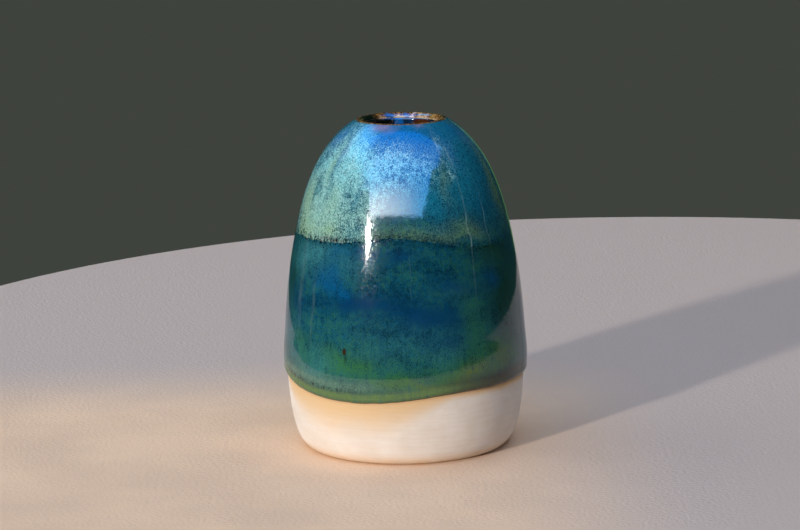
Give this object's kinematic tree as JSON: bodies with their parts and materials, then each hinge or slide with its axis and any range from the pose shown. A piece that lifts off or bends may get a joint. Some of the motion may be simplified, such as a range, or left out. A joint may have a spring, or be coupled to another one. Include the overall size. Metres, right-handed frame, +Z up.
{
  "type": "ceramic bud vase",
  "caption": "Small egg-shaped stoneware bud vase with a narrow round mouth, a glossy glaze over the shoulder and belly, and a bare clay foot.",
  "frame": {"origin": "centre of the foot, on the plane the vase stands on", "axes": "+Z up along the throwing axis, towards the mouth; -Y is the front; X and Y lie in the standing plane"},
  "size_m": [0.0744, 0.0744, 0.1],
  "materials": {
    "bare_clay": "unglazed, matt, cream with a faint orange flash under the glaze line",
    "teal_glaze": "glossy, deep teal breaking to green at its lower edge",
    "blue_green_glaze": "glossy, speckled turquoise and blue-green",
    "brown_rim_glaze": "glossy, thin, breaking to brown and gold",
    "dark_liner_glaze": "glossy, dark blue and brown"
  },
  "bodies": {
    "root": {"clay_body": "bare_clay", "base_glaze": "teal_glaze", "shoulder_glaze": "blue_green_glaze", "rim_glaze": "brown_rim_glaze", "liner_glaze": "dark_liner_glaze"}
  },
  "joints": []
}
